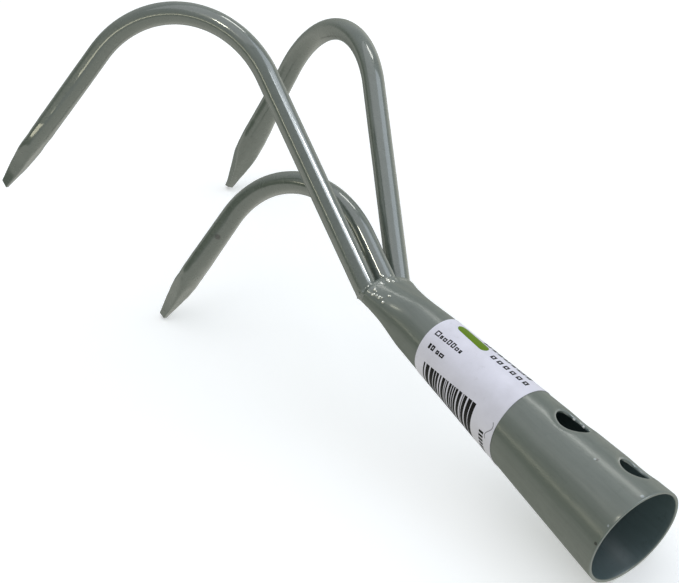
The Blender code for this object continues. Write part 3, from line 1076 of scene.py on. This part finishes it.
def studio_world():
    """Soft surroundings, even all round except for one dark corner."""
    world = bpy.data.worlds.new("studio")
    world.use_nodes = True
    tree = world.node_tree
    place = tree.nodes.new("ShaderNodeTexCoord")
    split = tree.nodes.new("ShaderNodeSeparateXYZ")
    tree.links.new(place.outputs["Generated"], split.inputs["Vector"])
    height = tree.nodes.new("ShaderNodeMapRange")
    height.inputs["From Min"].default_value = -1.0
    tree.links.new(split.outputs["Z"], height.inputs["Value"])

    def towards(azimuth, elevation, edge):
        """1 looking in a direction, falling to 0 across a soft edge."""
        dot = tree.nodes.new("ShaderNodeVectorMath")
        dot.operation = "DOT_PRODUCT"
        dot.inputs[1].default_value = direction(azimuth, elevation)
        tree.links.new(place.outputs["Generated"], dot.inputs[0])
        fall = tree.nodes.new("ShaderNodeMapRange")
        fall.inputs["From Min"].default_value = edge[0]
        fall.inputs["From Max"].default_value = edge[1]
        tree.links.new(dot.outputs["Value"], fall.inputs["Value"])
        return fall.outputs["Result"]

    room = tree.nodes.new("ShaderNodeMixRGB")
    tree.links.new(towards(DARK_AZIMUTH, 0.0, DARK_EDGE), room.inputs["Fac"])
    tree.links.new(height_ramp(tree, height.outputs["Result"], SURROUNDINGS),
                   room.inputs["Color1"])
    tree.links.new(height_ramp(tree, height.outputs["Result"], DARK_CORNER),
                   room.inputs["Color2"])
    dimmed = tree.nodes.new("ShaderNodeMixRGB")
    dimmed.inputs["Color2"].default_value = (*DIM_COLOUR, 1.0)
    tree.links.new(towards(DIM_AZIMUTH, DIM_ELEVATION, DIM_EDGE), dimmed.inputs["Fac"])
    tree.links.new(room.outputs["Color"], dimmed.inputs["Color1"])
    around = tree.nodes["Background"]
    tree.links.new(dimmed.outputs["Color"], around.inputs["Color"])

    pale = tree.nodes.new("ShaderNodeBackground")
    pale.inputs["Color"].default_value = (1.0, 1.0, 1.0, 1.0)
    sight = tree.nodes.new("ShaderNodeLightPath")
    choose = tree.nodes.new("ShaderNodeMixShader")
    tree.links.new(sight.outputs["Is Camera Ray"], choose.inputs["Fac"])
    tree.links.new(around.outputs["Background"], choose.inputs[1])
    tree.links.new(pale.outputs["Background"], choose.inputs[2])
    tree.links.new(choose.outputs["Shader"], tree.nodes["World Output"].inputs["Surface"])
    bpy.context.scene.world = world


def add_stage():
    """Floor, world and soft lights."""
    for light in LIGHTS:
        add_light(*light)
    studio_world()
    build = bmesh.new()
    bmesh.ops.create_grid(build, x_segments=8, y_segments=8, size=6.0)
    mesh = bpy.data.meshes.new("floor")
    build.to_mesh(mesh)
    build.free()
    mesh.materials.append(floor_look())
    floor = bpy.data.objects.new("floor", mesh)
    floor.location = (0.0, 0.0, -0.0002)
    floor.visible_diffuse = False
    floor.visible_glossy = False
    bpy.context.scene.collection.objects.link(floor)


def add_camera():
    """The camera, at the photograph's viewing angle."""
    data = bpy.data.cameras.new("camera")
    data.lens = CAMERA_LENS
    data.sensor_width = 36.0
    data.sensor_fit = "HORIZONTAL"
    data.shift_x, data.shift_y = CAMERA_SHIFT
    data.clip_start = 0.05
    data.clip_end = 30.0
    camera = bpy.data.objects.new("camera", data)
    bpy.context.scene.collection.objects.link(camera)
    aim = (CAMERA_AIM - CAMERA_AT).to_track_quat("-Z", "Y").to_matrix().to_4x4()
    camera.matrix_world = (Matrix.Translation(CAMERA_AT) @ aim
                           @ Matrix.Rotation(CAMERA_ROLL, 4, "Z"))
    bpy.context.scene.camera = camera


# ----------------------------------------------------------------- assembly


def build_scene():
    """Load the frame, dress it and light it."""
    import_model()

    plain = (1.0, 1.0, 1.0)
    satin = (0.38, 0.52)
    glossy = (0.22, 0.34)
    nicks_and_glints = [(wall_point(along, turn, 0.0), reach, colour)
             for marks, colour in ((DARK_NICKS, NICK_DARK), (PALE_NICKS, NICK_PALE))
             for along, turn, reach in marks]
    socket_paint = enamel("enamel_socket", plain, 0.35, 0.45, satin, (0.42, 0.22), nicks_and_glints)
    # The bore is a darker, bluer copy of the enamel: painted shade inside the tube.
    bore_paint = enamel("enamel_bore", (0.76, 0.93, 1.16), 0.60, 0.30, satin, (0.30, 0.25))
    # The rim is a lighter, bluer copy of the enamel: painted bluish sheen.
    rim_paint = enamel("enamel_rim", (1.10, 1.15, 1.26), 0.25, 0.10, satin, (0.5, 0.20))
    # Painted glints on the far edges of the screw holes.
    painted_glints = [(wall_point(along, turn, 0.9), reach, PAINTED_GLINT_COLOUR)
             for along, turn, reach in PAINTED_EDGE_GLINTS]
    # The punched edges are a lighter, bluer copy of the enamel: painted bluish sheen.
    lip_paint = enamel("enamel_punched_edge", (1.0, 1.08, 1.22), 0.20, 0.0, glossy, (1.0, 0.08),
                       painted_glints)
    tine_paint = enamel("enamel_tine", (0.92, 0.93, 0.93), 0.40, 0.35, glossy, (1.0, 0.065),
                        ((*TINE_NICK, NICK_DARK),))
    cut_paint = enamel("enamel_cut_end", (0.40, 0.40, 0.42), 0.70, 0.0, satin, (0.3, 0.2))
    weld_paint = enamel("enamel_weld", (0.92, 0.94, 0.96), 0.30, 0.0, glossy, (1.0, 0.08))
    bare_beads = bare_steel()

    make_socket((socket_paint, bore_paint, rim_paint, lip_paint))
    left_path, left_axis = outer_path(LEFT_REACH)
    right_path, right_axis = mirrored(*outer_path(RIGHT_REACH))
    middle_path, middle_axis = hook_path(
        MIDDLE_ROOT, 0.0, MIDDLE_LIFT, 0.0,
        MIDDLE_STRAIGHT, MIDDLE_BEND_RADIUS, MIDDLE_BEND, MIDDLE_REACH)
    looks = (tine_paint, cut_paint)
    make_tine("left", left_path, left_axis, LEFT_END_SLANT, looks, 1.0)
    make_tine("middle", middle_path, middle_axis, MIDDLE_END_SLANT, looks, 2.0)
    make_tine("right", right_path, right_axis, RIGHT_END_SLANT, looks, 3.0)
    roots = [path[0] for path in (left_path, middle_path, right_path)]
    make_weld(roots, weld_paint)
    make_spatter(roots, bare_beads)

    make_label(paper_look())
    make_print(ink_look("ink_black", (0.004, 0.004, 0.005), (0.02, 0.02, 0.02)),
               ink_look("ink_green", (0.118, 0.215, 0.001), (0.16, 0.27, 0.005)),
               ink_look("pencil_grey", (0.26, 0.25, 0.28), (0.45, 0.44, 0.48)))

    add_stage()
    add_camera()
    bpy.context.scene.view_settings.view_transform = "Standard"


build_scene()
